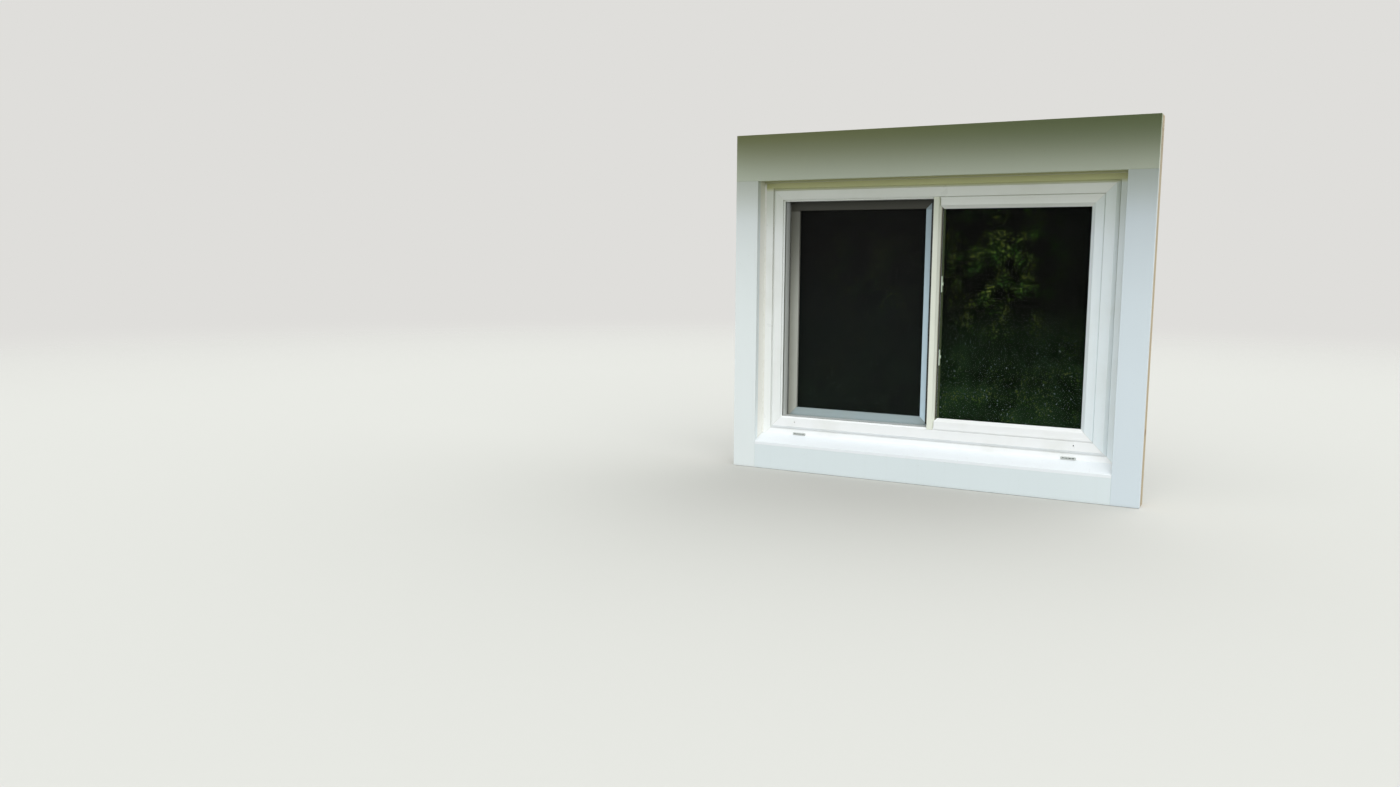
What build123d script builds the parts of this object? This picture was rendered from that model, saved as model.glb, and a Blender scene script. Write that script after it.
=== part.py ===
from build123d import *
import os

# White vinyl sliding window in its trim, millimetres. X runs along the wall, +Y into the house,
# +Z up. The back of the nailing fins lies in the plane y = 0, against the wall's sheathing, and the
# origin is on the back of the sill fin, at the middle of its length and of its width.

# Main frame
unit_width = 1016.0
unit_height = 766.0
fin_width = 32.0
fin_thickness = 1.6
flange_front = -12.0       # y of the outer flange that the trim laps
flange_width = 27.0
groove_depth = 3.0
groove_width = 1.2
bevel_width = 9.0
face_front = -20.0         # y of the frame's proud face
face_width = 26.0
lip_depth = 6.0            # rebate round the inside of the face
lip_width = 5.0
undercut_set_back = 1.0    # groove in the pocket's wall, close behind the rebate
undercut_width = 6.0
undercut_depth = 3.0
frame_back = 77.0
edge_round = 1.0
accessory_groove_inset = 8.0   # the room side's groove for a jamb liner
accessory_groove_width = 3.0
accessory_groove_depth = 6.0

# Screen groove and sash channel, inside the frame
screen_groove_front = 22.0
screen_groove_depth = 2.6
middle_leg_front = 33.5
middle_leg_thickness = 2.5
inner_leg_thickness = 6.0
sash_leg_height = 4.0
channel_sink = 14.0        # how far the sash channel's floor lies below the pocket's floor

# Fixed lite
fixed_step = 1.5           # how far the fixed lite's rails lie behind the frame's face
fixed_edge_width = 3.0     # slope along a rail's outer edge, which makes a groove beside the frame
fixed_edge_depth = 2.0
fixed_line_width = 8.0     # outer flat of a rail, up to its shadow line
fixed_line_depth = 1.0
fixed_rail_width = 32.5
fixed_bevel_width = 9.5
sight_edge = 2.0           # square edge of a rail beside the glass
fixed_gap = 0.6
fixed_set_back = 2.3       # from the fixed lite's back to the screen groove
shadow_gap = 0.4
meeting_left = 2.6
meeting_width = 19.5
meeting_bevel_width = 6.1
glass_front = -8.0
pane_thickness = 3.0
air_gap = 13.0
glass_bite = 15.5
meeting_bite = 10.6
glass_clearance = 0.5
bead_gap = 0.15            # hairline left at the mitres of the glazing beads
bead_reveal = 1.0          # how far a bead stops short of the rail's sight line
bead_bevel = 0.6           # share of a bead's thickness that its bevel takes
spacer_width = 7.0
spacer_inset = 1.0
screen_hook = 15.6
hook_thickness = 1.5

# Sliding sash
sash_front = 40.0
sash_depth = 28.0
sash_lip = 5.0
sash_rail_width = 29.0
sash_bevel_width = 6.0
sash_bevel_depth = 3.5
sash_bite = 11.0
sash_lap = 13.0            # x of the sash's leading edge when it is shut
sash_side_gap = 3.0
sash_end_gap = 5.0         # above and below, between the sash and its channel's floor
interlock_reach = 5.0
interlock_gap = 1.0
pull_gap = 1.2             # between the jamb's inner leg and the finger pull on the closing stile
pull_thickness = 1.8
pull_rise = 14.5
pull_lip = 4.5

# Rollers and roller rail
rail_thickness = 2.0
rail_height = 4.0
wheel_radius = 7.0
wheel_width = 4.0
roller_from_end = 70.0
wheel_groove_depth = 1.0
wheel_play = 0.3           # clearance beside, above and inside a wheel
axle_radius = 1.5
roller_slot_depth = 14.5
roller_slot_width = 8.0
housing_length = 34.0
housing_play = 0.2

# Insect screen
screen_member = 26.0
screen_thickness = 9.0
screen_top_gap = 2.0
screen_side_gap = 4.0
screen_right = -4.5
screen_play = 1.0
spline_width = 3.4
spline_depth = 4.0
spline_from_inside = 4.0
spline_play = 0.1
mesh_thickness = 0.4
mesh_sink = 1.0

# Trim round the window
trim_front = -64.0
board_thickness = 18.0
casing_width = 70.0
return_lap = 4.0           # how far the side returns stand over the frame's flange, on average
trim_shift = -3.0          # the window stands a little to the right in its trim
board_ease = 0.8           # rounding of the boards' front edges
ledge_ease = 2.0
head_height = 131.5
head_lap = 9.0             # how far the head board hangs below the top of the frame
apron_bottom = -72.2
ledge_front_top = 7.5
ledge_nose = 9.0
ledge_back_lap = 11.6      # how far the ledge covers the sill's flange
return_thickness = 12.0
buildout_gap = 2.0

# Small fittings
weep_x = 385.0
weep_length = 34.0
weep_height = 3.6
weep_depth = 20.0
weep_from_bottom = 15.5
weep_cover_length = 40.0
weep_cover_height = 7.0
weep_cover_corner = 2.0
weep_cover_thickness = 2.2
weep_cover_ease = 0.6
weep_slit_length = 6.6
weep_slit_height = 2.4
weep_slit_pitch = 8.5
weep_slit_count = 4
drain_x = 398.0
drain_radius = 1.8
drain_depth = 25.0
drain_below_lip = 11.0
nail_radius = 3.0
head_nail_spacing = 280.0
side_nail_spacing = 280.0
seal_width = 7.0
seal_thickness = 1.5
pile_width = 4.0
pile_gap = 0.3
pile_set_back = 1.0        # from the leg's edge to the pile
lock_heights = (277.0, 482.0)
lock_length = 60.0
lock_width = 18.0
lock_base = 4.0
lock_drum_radius = 8.0
lock_drum_height = 9.0
lever_length = 34.0
lever_width = 7.0
lever_thickness = 4.0
cam_gap = 0.8              # between the cam and the sash's leading edge
cam_thickness = 2.8
cam_height = 8.0
cam_tip_gap = 3.0
keeper_length = 44.0
keeper_thickness = 2.0
keeper_pass_gap = 2.0      # room for the sash's hook to slide past the keeper

# Places that follow from those sizes
sill_bottom = fin_width / 2
head_top = sill_bottom + unit_height
half_width = unit_width / 2
face_outer = flange_width + bevel_width
face_inner = face_outer + face_width
pocket = face_inner + lip_width
channel_floor = pocket - channel_sink
leg_top = pocket + sash_leg_height
middle_leg_back = middle_leg_front + middle_leg_thickness
inner_leg_front = frame_back - inner_leg_thickness
sash_back = sash_front + sash_depth
glass_back = glass_front + 2 * pane_thickness + air_gap
fixed_front = face_front + fixed_step
lip_back = face_front + lip_depth
undercut_front = lip_back + undercut_set_back
meeting_right = meeting_left + meeting_width
opening_width = unit_width - 2 * return_lap
casing_left = trim_shift - opening_width / 2 - casing_width
casing_right = trim_shift + opening_width / 2 + casing_width
opening_left = casing_left + casing_width
opening_right = casing_right - casing_width
opening_top = head_top - head_lap
board_back = trim_front + board_thickness
fin_edge = half_width + fin_width


class Rectangle4:
    """The outer rectangle of four members, seen from the front."""

    def __init__(self, left, right, bottom, top):
        self.left, self.right, self.bottom, self.top = left, right, bottom, top
        self.middle = (bottom + top) / 2
        self.centre = (left + right) / 2

    def side(self, name):
        """The plane of a member's section: local x runs inwards, local y into the house."""
        planes = {
            "sill": Plane((self.centre, 0, self.bottom), x_dir=(0, 0, 1), z_dir=(-1, 0, 0)),
            "head": Plane((self.centre, 0, self.top), x_dir=(0, 0, -1), z_dir=(1, 0, 0)),
            "left": Plane((self.left, 0, self.middle), x_dir=(1, 0, 0), z_dir=(0, 0, 1)),
            "right": Plane((self.right, 0, self.middle), x_dir=(-1, 0, 0), z_dir=(0, 0, -1)),
        }
        return planes[name]

    def length(self, name):
        if name in ("sill", "head"):
            return self.right - self.left
        return self.top - self.bottom


def mitred_member(rectangle, side, outline, end_gap=0.0):
    """A straight length of an extruded section with both ends cut at 45 degrees."""
    plane = rectangle.side(side)
    half = rectangle.length(side) / 2
    overhang = max(0.0, -min(point[0] for point in outline))
    with BuildPart() as bar:
        with BuildSketch(plane):
            with BuildLine():
                Polyline(*outline, close=True)
            make_face()
        extrude(amount=half + overhang, both=True)
        for end in (1, -1):
            corner = plane.from_local_coords((0, 0, end * (half - end_gap)))
            split(bisect_by=Plane(corner, z_dir=plane.x_dir + plane.z_dir * end), keep=Keep.BOTTOM)
    return bar


def block(x_range, y_range, z_range, front_ease=0.0):
    """A length of board or strip between the given limits, with its front edges eased if asked."""
    with BuildPart() as piece:
        with BuildSketch(Plane.XY.offset(z_range[0])):
            with Locations(((x_range[0] + x_range[1]) / 2, (y_range[0] + y_range[1]) / 2)):
                Rectangle(x_range[1] - x_range[0], y_range[1] - y_range[0])
        extrude(amount=z_range[1] - z_range[0])
        if front_ease > 0:
            fillet(piece.faces().sort_by(Axis.Y)[0].edges(), radius=front_ease)
    return piece


unit = Rectangle4(-half_width, half_width, sill_bottom, head_top)

# The main frame's section: fin, flange, bevelled face, rebate, undercut, screen groove, sash channel
frame_outline = [
    (-fin_width, -fin_thickness),
    (0, -fin_thickness),
    (0, flange_front),
    (flange_width, flange_front),
    (flange_width, flange_front + groove_depth),
    (flange_width + groove_width, flange_front + groove_depth),
    (face_outer, face_front + edge_round),
    (face_outer + edge_round, face_front),
    (face_inner, face_front),
    (face_inner, lip_back),
    (pocket, lip_back),
    (pocket, undercut_front),
    (pocket - undercut_depth, undercut_front),
    (pocket - undercut_depth, undercut_front + undercut_width),
    (pocket, undercut_front + undercut_width),
    (pocket, screen_groove_front),
    (pocket - screen_groove_depth, screen_groove_front),
    (pocket - screen_groove_depth, middle_leg_front),
    (leg_top, middle_leg_front),
    (leg_top, middle_leg_back),
    (channel_floor, middle_leg_back),
    (channel_floor, inner_leg_front),
    (leg_top, inner_leg_front),
    (leg_top, frame_back),
    (accessory_groove_inset + accessory_groove_width, frame_back),
    (accessory_groove_inset + accessory_groove_width, frame_back - accessory_groove_depth),
    (accessory_groove_inset, frame_back - accessory_groove_depth),
    (accessory_groove_inset, frame_back),
    (0, frame_back),
    (0, 0),
    (-fin_width, 0),
]
head_bar = mitred_member(unit, "head", frame_outline)
sill_bar = mitred_member(unit, "sill", frame_outline)
left_bar = mitred_member(unit, "left", frame_outline)
right_bar = mitred_member(unit, "right", frame_outline)

with BuildPart() as frame_head:
    add(head_bar.part)
    with BuildSketch(Plane.XZ):
        with Locations((0, head_top + fin_width / 2)):
            with GridLocations(head_nail_spacing, 1, 4, 1):
                Circle(nail_radius)
    extrude(amount=fin_thickness, mode=Mode.SUBTRACT)

rail_middle = (sash_front + sash_back) / 2
with BuildPart() as frame_sill:
    add(sill_bar.part)
    # the rib that the rollers run on
    with BuildSketch(unit.side("sill")):
        with Locations((channel_floor + rail_height / 2, rail_middle)):
            Rectangle(rail_height, rail_thickness)
    extrude(amount=half_width - leg_top, both=True)
    with BuildSketch(Plane.XZ):
        with Locations((0, 0)):
            with GridLocations(head_nail_spacing, 1, 4, 1):
                Circle(nail_radius)
    extrude(amount=fin_thickness, mode=Mode.SUBTRACT)
    # drain holes in the face and weep slots in the flange
    with BuildSketch(Plane.XZ.offset(-face_front)):
        with Locations((0, sill_bottom + face_inner - drain_below_lip)):
            with GridLocations(2 * drain_x, 1, 2, 1):
                Circle(drain_radius)
    extrude(amount=-drain_depth, mode=Mode.SUBTRACT)
    with BuildSketch(Plane.XZ.offset(-flange_front)):
        with Locations((0, sill_bottom + weep_from_bottom)):
            with GridLocations(2 * weep_x, 1, 2, 1):
                SlotOverall(weep_length, weep_height)
    extrude(amount=-weep_depth, mode=Mode.SUBTRACT)

with BuildPart() as frame_left_jamb:
    add(left_bar.part)
    with BuildSketch(Plane.XZ):
        with Locations((-half_width - fin_width / 2, unit.middle)):
            with GridLocations(1, side_nail_spacing, 1, 3):
                Circle(nail_radius)
    extrude(amount=fin_thickness, mode=Mode.SUBTRACT)

with BuildPart() as frame_right_jamb:
    add(right_bar.part)
    with BuildSketch(Plane.XZ):
        with Locations((half_width + fin_width / 2, unit.middle)):
            with GridLocations(1, side_nail_spacing, 1, 3):
                Circle(nail_radius)
    extrude(amount=fin_thickness, mode=Mode.SUBTRACT)

# Covers over the weep slots: eased plates with a row of short slits
weep_plane = Plane.XZ.offset(-flange_front)
with BuildPart() as weep_covers:
    with BuildSketch(weep_plane):
        with Locations((0, sill_bottom + weep_from_bottom)):
            with GridLocations(2 * weep_x, 1, 2, 1):
                RectangleRounded(weep_cover_length, weep_cover_height, weep_cover_corner)
    extrude(amount=weep_cover_thickness)
    fillet(weep_covers.faces().filter_by(Axis.Y).group_by(Axis.Y)[0].edges(), radius=weep_cover_ease)
    with BuildSketch(weep_plane):
        with Locations((0, sill_bottom + weep_from_bottom)):
            with GridLocations(2 * weep_x, 1, 2, 1):
                with GridLocations(weep_slit_pitch, 1, weep_slit_count, 1):
                    SlotOverall(weep_slit_length, weep_slit_height)
    extrude(amount=weep_cover_thickness, mode=Mode.SUBTRACT)

# Fixed lite, seated in the frame's rebate on the right
fixed = Rectangle4(
    meeting_left,
    half_width - pocket - fixed_gap,
    sill_bottom + pocket + fixed_gap,
    head_top - pocket - fixed_gap,
)
flange_reach = lip_width + fixed_gap - shadow_gap
rail_inside = fixed_rail_width - flange_reach
fixed_back = screen_groove_front - fixed_set_back
fixed_outline = [
    (-flange_reach, fixed_front + fixed_edge_depth),
    (fixed_edge_width - flange_reach, fixed_front),
    (fixed_line_width - flange_reach, fixed_front),
    (fixed_line_width - flange_reach, fixed_front + fixed_line_depth),
    (rail_inside - fixed_bevel_width, fixed_front + fixed_line_depth),
    (rail_inside, glass_front - sight_edge),
    (rail_inside, glass_front),
    (rail_inside - glass_bite, glass_front),
    (rail_inside - glass_bite, fixed_back),
    (0, fixed_back),
    (0, lip_back),
    (-flange_reach, lip_back),
]
top_bar = mitred_member(fixed, "head", fixed_outline)
bottom_bar = mitred_member(fixed, "sill", fixed_outline)
fixed_side_stile = mitred_member(fixed, "right", fixed_outline)

with BuildPart() as fixed_top_rail:
    add(top_bar.part)
    split(bisect_by=Plane((meeting_right, 0, 0), z_dir=(1, 0, 0)), keep=Keep.TOP)

with BuildPart() as fixed_bottom_rail:
    add(bottom_bar.part)
    split(bisect_by=Plane((meeting_right, 0, 0), z_dir=(1, 0, 0)), keep=Keep.TOP)

# The fixed meeting stile: glass rebate on its right, screen hook and interlock behind
glass_wall = meeting_right - meeting_bite
interlock_back = sash_front - hook_thickness
interlock_lip = sash_lap - 2 * hook_thickness - interlock_gap
front_half = unit_height / 2 - face_inner - shadow_gap
body_half = unit_height / 2 - pocket - fixed_gap
hook_half = unit_height / 2 - leg_top - fixed_gap
stile_reach = meeting_right + screen_hook
with BuildPart() as fixed_meeting_stile:
    with BuildSketch(Plane.XY.offset(unit.middle)):
        with BuildLine():
            Polyline(
                (meeting_left, fixed_front),
                (meeting_right - meeting_bevel_width, fixed_front),
                (meeting_right, glass_front - sight_edge),
                (meeting_right, glass_front),
                (glass_wall, glass_front),
                (glass_wall, fixed_back),
                (meeting_left + hook_thickness, fixed_back),
                (meeting_left + hook_thickness, interlock_back - hook_thickness),
                (interlock_lip, interlock_back - hook_thickness),
                (interlock_lip, interlock_back),
                (meeting_left, interlock_back),
                (meeting_left, fixed_back),
                (meeting_left - screen_hook, fixed_back),
                (meeting_left - screen_hook, fixed_back - hook_thickness),
                (meeting_left, fixed_back - hook_thickness),
                close=True,
            )
        make_face()
    extrude(amount=front_half, both=True)
    # its ends step back over the rebate and the middle leg
    for end in (1, -1):
        with BuildSketch(Plane.XY.offset(unit.middle + end * front_half)):
            with Locations((0, (lip_back + sash_front) / 2)):
                Rectangle(2 * stile_reach, sash_front - lip_back)
        extrude(amount=-end * (front_half - body_half), mode=Mode.SUBTRACT)
        with BuildSketch(Plane.XY.offset(unit.middle + end * front_half)):
            with Locations((0, (fixed_back - hook_thickness + sash_front) / 2)):
                Rectangle(2 * stile_reach, sash_front - fixed_back + hook_thickness)
        extrude(amount=-end * (front_half - hook_half), mode=Mode.SUBTRACT)


def glass_unit(pocket_sides, front):
    """Two panes and the spacer between them, for an insulated glass unit in its pocket."""
    inner_front = front + pane_thickness + air_gap
    across = (pocket_sides.left + glass_clearance, pocket_sides.right - glass_clearance)
    upwards = (pocket_sides.bottom + glass_clearance, pocket_sides.top - glass_clearance)
    outer_pane = block(across, (front, front + pane_thickness), upwards)
    inner_pane = block(across, (inner_front, inner_front + pane_thickness), upwards)
    width = across[1] - across[0] - 2 * spacer_inset
    height = upwards[1] - upwards[0] - 2 * spacer_inset
    with BuildPart() as spacer:
        with BuildSketch(Plane.XZ.offset(-front - pane_thickness)):
            with Locations((pocket_sides.centre, pocket_sides.middle)):
                Rectangle(width, height)
                Rectangle(width - 2 * spacer_width, height - 2 * spacer_width, mode=Mode.SUBTRACT)
        extrude(amount=-air_gap)
    return outer_pane, inner_pane, spacer


def glazing_beads(pocket_sides, width, y_front, y_back):
    """Four mitred snap-in beads that hold a glass unit from the room side."""
    bevel = (y_back - y_front) * bead_bevel
    outline = [(0, y_front), (width, y_front), (width, y_back - bevel), (width - bevel, y_back), (0, y_back)]
    with BuildPart() as beads:
        for side in ("sill", "head", "left", "right"):
            add(mitred_member(pocket_sides, side, outline, bead_gap).part)
    return beads


fixed_pocket = Rectangle4(
    glass_wall,
    fixed.right - (rail_inside - glass_bite),
    fixed.bottom + (rail_inside - glass_bite),
    fixed.top - (rail_inside - glass_bite),
)
fixed_outer_glass, fixed_inner_glass, fixed_glass_spacer = glass_unit(fixed_pocket, glass_front)
fixed_glazing_beads = glazing_beads(fixed_pocket, meeting_bite - bead_reveal, glass_back, fixed_back)

# Sliding sash on the inner track, shut at the left
sash = Rectangle4(
    -half_width + channel_floor + sash_side_gap,
    sash_lap,
    sill_bottom + channel_floor + sash_end_gap,
    head_top - channel_floor - sash_end_gap,
)
sash_outline = [
    (0, sash_front),
    (sash_rail_width - sash_bevel_width, sash_front),
    (sash_rail_width, sash_front + sash_bevel_depth),
    (sash_rail_width, sash_front + sash_lip),
    (sash_rail_width - sash_bite, sash_front + sash_lip),
    (sash_rail_width - sash_bite, sash_back),
    (0, sash_back),
]
hook_front = interlock_back - 2 * hook_thickness - interlock_gap
meeting_outline = [
    (0, hook_front),
    (hook_thickness + interlock_reach, hook_front),
    (hook_thickness + interlock_reach, hook_front + hook_thickness),
    (hook_thickness, hook_front + hook_thickness),
    (hook_thickness, sash_front),
] + sash_outline[1:]
sash_top_rail = mitred_member(sash, "head", sash_outline)
sash_bar = mitred_member(sash, "sill", sash_outline)
pull_bar = mitred_member(sash, "left", sash_outline)
lead_bar = mitred_member(sash, "right", meeting_outline)

roller_xs = (sash.left + roller_from_end, sash.right - roller_from_end)
with BuildPart() as sash_bottom_rail:
    add(sash_bar.part)
    # the slot that runs over the roller rail
    with BuildSketch(sash.side("sill")):
        with Locations((roller_slot_depth / 2, rail_middle)):
            Rectangle(roller_slot_depth, roller_slot_width)
    extrude(amount=(sash.right - sash.left) / 2, both=True, mode=Mode.SUBTRACT)

pull_left = -half_width + leg_top + pull_gap
with BuildPart() as sash_pull_stile:
    add(pull_bar.part)
    # the finger pull, an angle that stands on the room side between the tracks
    with BuildSketch(Plane.XY.offset(unit.middle)):
        with BuildLine():
            Polyline(
                (pull_left, sash_back),
                (pull_left + pull_thickness, sash_back),
                (pull_left + pull_thickness, sash_back + pull_rise),
                (pull_left - pull_lip, sash_back + pull_rise),
                (pull_left - pull_lip, sash_back + pull_rise - pull_thickness),
                (pull_left, sash_back + pull_rise - pull_thickness),
                close=True,
            )
        make_face()
    extrude(amount=hook_half, both=True)

with BuildPart() as sash_meeting_stile:
    add(lead_bar.part)
    # the interlock stops short of the tracks
    for end in (1, -1):
        with BuildSketch(Plane.XY.offset(unit.middle + end * unit_height / 2)):
            with Locations((sash.right, (hook_front + sash_front) / 2)):
                Rectangle(2 * sash_rail_width, sash_front - hook_front)
        extrude(amount=-end * (leg_top + fixed_gap), mode=Mode.SUBTRACT)

sash_wall = sash_rail_width - sash_bite
sash_pocket = Rectangle4(
    sash.left + sash_wall,
    sash.right - sash_wall,
    sash.bottom + sash_wall,
    sash.top - sash_wall,
)
sash_glass_front = sash_front + sash_lip
sash_glass_back = sash_glass_front + 2 * pane_thickness + air_gap
sash_outer_glass, sash_inner_glass, sash_glass_spacer = glass_unit(sash_pocket, sash_glass_front)
sash_glazing_beads = glazing_beads(sash_pocket, sash_bite - bead_reveal, sash_glass_back, sash_back)

# Rollers under the sash: grooved wheels on the sill's rib, each on an axle in its housing
wheel_z = sill_bottom + channel_floor + rail_height + wheel_radius - wheel_groove_depth
wheel_groove_width = rail_thickness + 2 * housing_play
wheel_sides = [(x, wheel_z) for x in roller_xs]
with BuildPart() as sash_rollers:
    with BuildSketch(Plane.XZ.offset(-rail_middle - wheel_width / 2)):
        with Locations(*wheel_sides):
            Circle(wheel_radius)
            Circle(axle_radius + wheel_play, mode=Mode.SUBTRACT)
    extrude(amount=wheel_width)
    # the groove that keeps a wheel on the rib
    with BuildSketch(Plane.XZ.offset(-rail_middle - wheel_groove_width / 2)):
        with Locations(*wheel_sides):
            Circle(wheel_radius + wheel_play)
            Circle(wheel_radius - wheel_groove_depth, mode=Mode.SUBTRACT)
    extrude(amount=wheel_groove_width, mode=Mode.SUBTRACT)

housing_width = roller_slot_width - 2 * housing_play
housing_height = roller_slot_depth - housing_play
with BuildPart() as roller_housings:
    with BuildSketch(Plane.XZ.offset(-rail_middle - housing_width / 2)):
        with Locations(*[(x, sash.bottom + housing_height / 2) for x in roller_xs]):
            Rectangle(housing_length, housing_height)
    extrude(amount=housing_width)
    # the well that the wheel turns in, open below
    with BuildSketch(Plane.XZ.offset(-rail_middle - wheel_width / 2 - wheel_play)):
        with Locations(*wheel_sides):
            Circle(wheel_radius + wheel_play)
        with Locations(*[(x, sash.bottom) for x in roller_xs]):
            Rectangle(2 * (wheel_radius + wheel_play), 2 * (wheel_z - sash.bottom))
    extrude(amount=wheel_width + 2 * wheel_play, mode=Mode.SUBTRACT)
    # the axle across it
    with BuildSketch(Plane.XZ.offset(-rail_middle - housing_width / 2)):
        with Locations(*wheel_sides):
            Circle(axle_radius)
    extrude(amount=housing_width)

# Cam locks on the inside of the sash's meeting stile: base, drum, lever, and the cam that hooks
# round the sash's leading edge, to the left of the keeper that stops it
lock_x = sash_lap - lock_width / 2
cam_left = sash_lap + cam_gap
catch_left = cam_left + cam_thickness + cam_gap
catch_back = hook_front - keeper_pass_gap
with BuildPart() as cam_locks:
    for z in lock_heights:
        with BuildSketch(Plane.XZ.offset(-sash_back)):
            with Locations((lock_x, z)):
                RectangleRounded(lock_width, lock_length, lock_width / 4)
        extrude(amount=-lock_base)
        with BuildSketch(Plane.XZ.offset(-sash_back - lock_base)):
            with Locations((lock_x, z)):
                Circle(lock_drum_radius)
        extrude(amount=-lock_drum_height)
        with BuildSketch(Plane.XZ.offset(-sash_back - lock_base - lock_drum_height)):
            with Locations((lock_x, z + (lever_length - lever_width) / 2)):
                SlotOverall(lever_length, lever_width, rotation=90)
        extrude(amount=-lever_thickness)
        with BuildSketch(Plane.XY.offset(z)):
            with BuildLine():
                Polyline(
                    (lock_x, sash_back + lock_base + cam_gap),
                    (cam_left, sash_back + lock_base + cam_gap),
                    (cam_left, fixed_back + keeper_thickness + cam_tip_gap),
                    (cam_left + cam_thickness, fixed_back + keeper_thickness + cam_tip_gap),
                    (cam_left + cam_thickness, sash_back + lock_base + cam_gap + cam_thickness),
                    (lock_x, sash_back + lock_base + cam_gap + cam_thickness),
                    close=True,
                )
            make_face()
        extrude(amount=cam_height / 2, both=True)

with BuildPart() as lock_keepers:
    for z in lock_heights:
        with BuildSketch(Plane.XY.offset(z)):
            with BuildLine():
                Polyline(
                    (meeting_left + 2 * hook_thickness, fixed_back),
                    (catch_left + keeper_thickness, fixed_back),
                    (catch_left + keeper_thickness, catch_back),
                    (catch_left, catch_back),
                    (catch_left, fixed_back + keeper_thickness),
                    (meeting_left + 2 * hook_thickness, fixed_back + keeper_thickness),
                    close=True,
                )
            make_face()
        extrude(amount=keeper_length / 2, both=True)

# Insect screen, standing in the outer groove in front of the sash
screen = Rectangle4(
    -half_width + pocket + screen_side_gap,
    screen_right,
    sill_bottom + pocket - screen_groove_depth,
    head_top - pocket + screen_groove_depth - screen_top_gap,
)
screen_front = screen_groove_front + screen_play
screen_back = screen_front + screen_thickness
spline_outer = screen_member - spline_from_inside - spline_width
spline_inner = screen_member - spline_from_inside
screen_outline = [
    (0, screen_front),
    (screen_member - edge_round, screen_front),
    (screen_member, screen_front + edge_round),
    (screen_member, screen_back - mesh_sink),
    (spline_inner, screen_back - mesh_sink),
    (spline_inner, screen_back - mesh_sink - spline_depth),
    (spline_outer, screen_back - mesh_sink - spline_depth),
    (spline_outer, screen_back),
    (0, screen_back),
]
screen_top_rail = mitred_member(screen, "head", screen_outline)
screen_bottom_rail = mitred_member(screen, "sill", screen_outline)
screen_left_stile = mitred_member(screen, "left", screen_outline)
screen_right_stile = mitred_member(screen, "right", screen_outline)
mesh_inset = spline_inner
screen_mesh = block(
    (screen.left + mesh_inset, screen.right - mesh_inset),
    (screen_back - mesh_sink, screen_back - mesh_sink + mesh_thickness),
    (screen.bottom + mesh_inset, screen.top - mesh_inset))
spline_long = screen.right - screen.left - 2 * (spline_outer + spline_play)
spline_high = screen.top - screen.bottom - 2 * (spline_outer + spline_play)
spline_band = spline_width - 2 * spline_play
spline_front = screen_back - mesh_sink - spline_depth
with BuildPart() as screen_spline:
    with BuildSketch(Plane.XZ.offset(-spline_front)):
        with Locations((screen.centre, screen.middle)):
            Rectangle(spline_long, spline_high)
            Rectangle(spline_long - 2 * spline_band, spline_high - 2 * spline_band, mode=Mode.SUBTRACT)
    extrude(amount=-(spline_depth + mesh_thickness))

# Seals: a dark strip on the screen hook, and piles between sash and tracks
hook_edge = meeting_left - screen_hook
hook_front_face = fixed_back - hook_thickness
screen_seal = block((hook_edge, hook_edge + seal_width),
                    (hook_front_face - seal_thickness, hook_front_face),
                    (unit.middle - hook_half, unit.middle + hook_half))
pile_back = sash_front - pile_gap
pile_far = leg_top - pile_set_back
with BuildPart() as sash_weatherstrips:
    for z in (sill_bottom + pile_far - pile_width / 2, head_top - pile_far + pile_width / 2):
        with BuildSketch(Plane.YZ.offset(sash.left)):
            with Locations(((middle_leg_back + pile_back) / 2, z)):
                Rectangle(pile_back - middle_leg_back, pile_width)
        extrude(amount=sash.right - sash.left)
    with BuildSketch(Plane.XY.offset(sill_bottom + pile_far + pile_gap)):
        with Locations((-half_width + pile_far - pile_width / 2, (middle_leg_back + pile_back) / 2)):
            Rectangle(pile_width, pile_back - middle_leg_back)
    extrude(amount=unit_height - 2 * (pile_far + pile_gap))

# Trim: flat boards, returns lining the reveal, sloped ledge, and strips that pack the boards out
board_depths = (trim_front, board_back)
side_heights = (apron_bottom, opening_top)
apron_top = ledge_front_top - ledge_nose
head_casing = block((casing_left, casing_right), board_depths, (opening_top, opening_top + head_height),
                    board_ease)
left_casing = block((casing_left, opening_left), board_depths, side_heights, board_ease)
right_casing = block((opening_right, casing_right), board_depths, side_heights, board_ease)
apron_casing = block((opening_left, opening_right), board_depths, (apron_bottom, apron_top), board_ease)

with BuildPart() as sill_ledge:
    with BuildSketch(Plane.YZ.offset(trim_shift)):
        with BuildLine():
            Polyline(
                (trim_front, apron_top),
                (trim_front, ledge_front_top),
                (flange_front, sill_bottom + ledge_back_lap),
                (flange_front, apron_top),
                close=True,
            )
        make_face()
    extrude(amount=opening_width / 2, both=True)
    # the eased top of its nose
    fillet(sill_ledge.edges().filter_by(Axis.X).group_by(Axis.Y)[0].sort_by(Axis.Z)[-1], radius=ledge_ease)

left_return = block((opening_left - return_thickness, opening_left), (board_back, flange_front),
                    (apron_top, opening_top))
right_return = block((opening_right, opening_right + return_thickness), (board_back, flange_front),
                     (apron_top, opening_top))
head_return = block((opening_left - return_thickness, opening_right + return_thickness),
                    (board_back, flange_front), (opening_top, opening_top + return_thickness))

packing_edge = fin_edge + buildout_gap
head_packing = block((casing_left, casing_right), (board_back, 0),
                     (head_top + fin_width + buildout_gap, opening_top + head_height))
left_packing = block((casing_left, -packing_edge), (board_back, 0),
                     (apron_bottom, head_top + fin_width + buildout_gap))
right_packing = block((packing_edge, casing_right), (board_back, 0),
                      (apron_bottom, head_top + fin_width + buildout_gap))
apron_packing = block((-packing_edge, packing_edge), (board_back, 0),
                      (apron_bottom, sill_bottom - fin_width - buildout_gap))

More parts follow.
